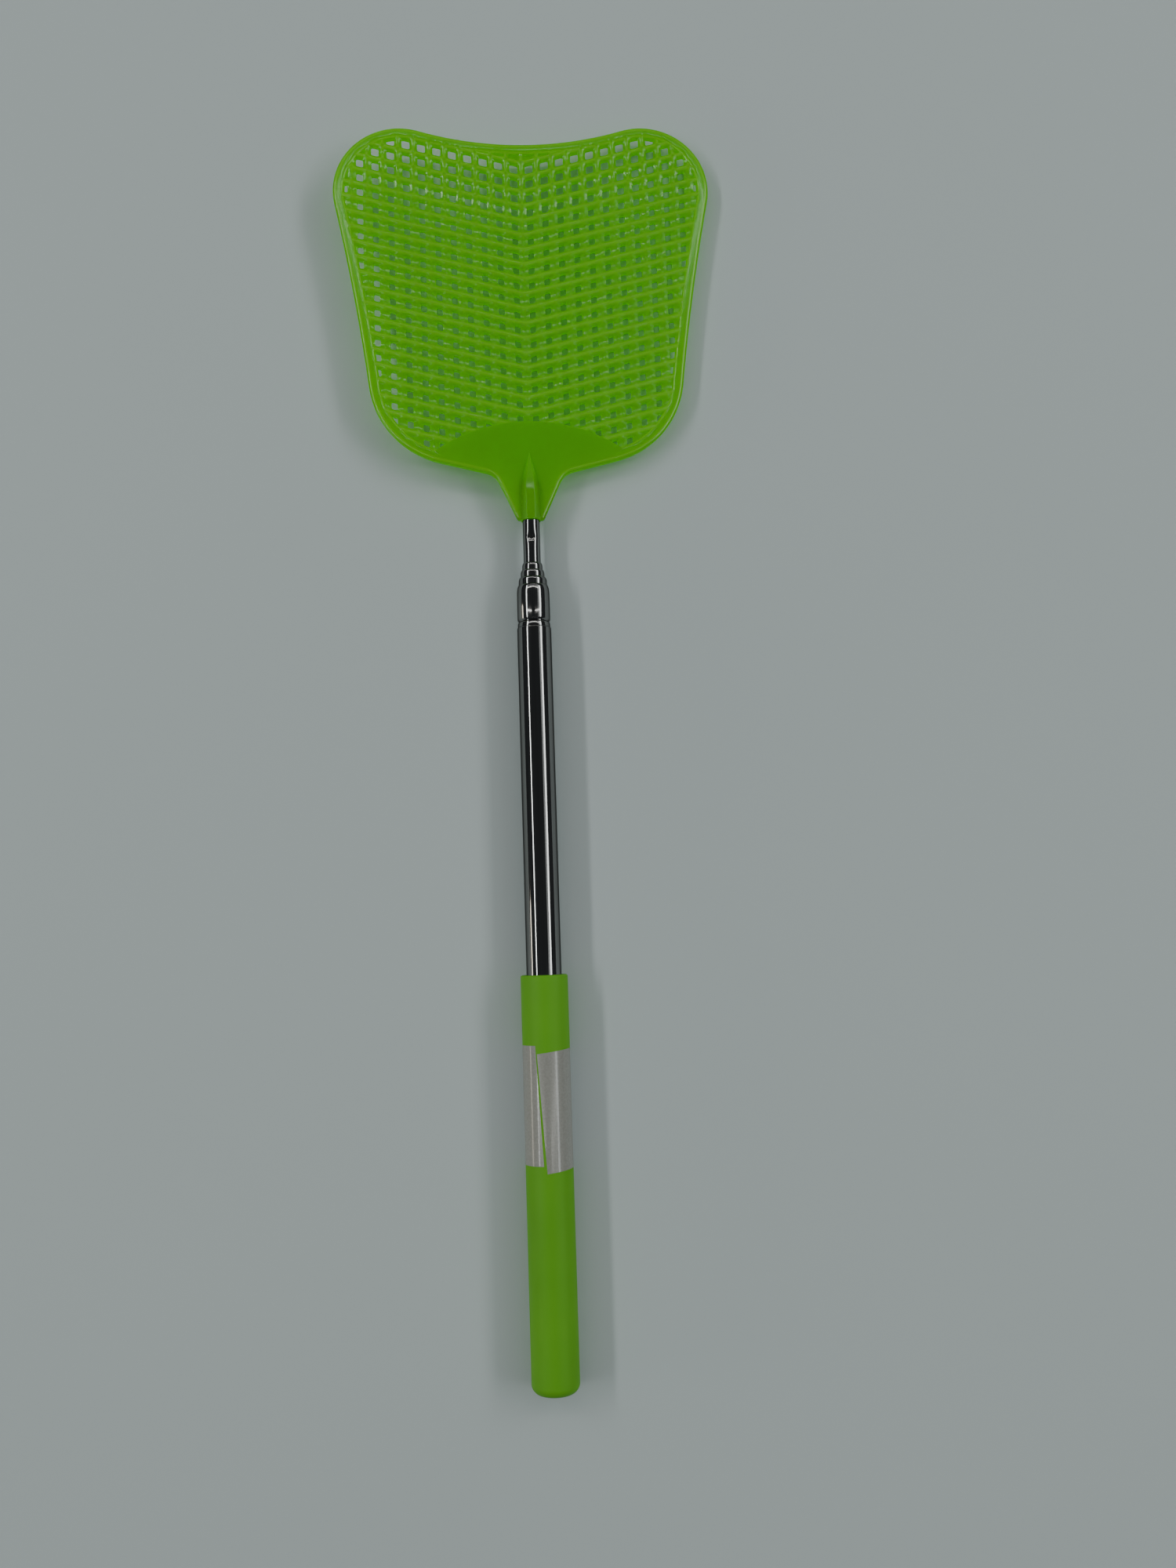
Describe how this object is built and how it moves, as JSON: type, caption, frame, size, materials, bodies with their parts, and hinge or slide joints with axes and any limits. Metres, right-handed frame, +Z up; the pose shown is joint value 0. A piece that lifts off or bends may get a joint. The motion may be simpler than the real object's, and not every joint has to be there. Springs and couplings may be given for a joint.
{
  "type": "telescopic fly swatter",
  "caption": "Telescopic fly swatter with a flexible mesh head on a stainless pole of sliding tubes and a plain round grip.",
  "frame": {"origin": "on the surface that the swatter lies on, under the middle of its closed length", "axes": "+Y along the pole from the grip towards the head, +Z up out of the head's front face, +X to the right"},
  "size_m": [0.114, 0.371, 0.0136],
  "materials": {
    "head_plastic": "translucent lime green moulding, satin gloss",
    "grip_plastic": "lime green, smooth satin",
    "label_paper": "white laminated paper, blank",
    "tube_steel": "bright polished stainless steel",
    "plug_plastic": "black moulded plastic",
    "shell_brass": "spring brass, bright"
  },
  "bodies": {
    "handle": {"grip": "grip_plastic", "label_left": "label_paper", "label_right": "label_paper", "outer_tube": "tube_steel", "tube_end_plug": "plug_plastic", "mouth_ferrule": "tube_steel"},
    "section_4": {"tube_4": "tube_steel", "friction_shell_4a": "shell_brass", "friction_shell_4b": "shell_brass"},
    "section_3": {"tube_3": "tube_steel", "friction_shell_3a": "shell_brass", "friction_shell_3b": "shell_brass"},
    "section_2": {"tube_2": "tube_steel", "friction_shell_2a": "shell_brass", "friction_shell_2b": "shell_brass"},
    "shells_1": {"friction_shell_1a": "shell_brass", "friction_shell_1b": "shell_brass"},
    "head_section": {"tube_1": "tube_steel", "crimp_core": "head_plastic", "swatter_head": "head_plastic"}
  },
  "joints": [
    {"name": "section_4_slide", "type": "slide", "parent": "handle", "child": "section_4", "axis": [0, 1, 0], "range_m": [0, 0.1016]},
    {"name": "section_3_slide", "type": "slide", "parent": "section_4", "child": "section_3", "axis": [0, 1, 0], "range_m": [0, 0.1193]},
    {"name": "section_2_slide", "type": "slide", "parent": "section_3", "child": "section_2", "axis": [0, 1, 0], "range_m": [0, 0.1193]},
    {"name": "section_1_slide", "type": "slide", "parent": "section_2", "child": "shells_1", "axis": [0, 1, 0], "range_m": [0, 0.1193]},
    {"name": "head_swivel", "type": "hinge", "parent": "shells_1", "child": "head_section", "pos_m": [0, 0, 0.00675], "axis": [0, 1, 0], "continuous": true}
  ]
}
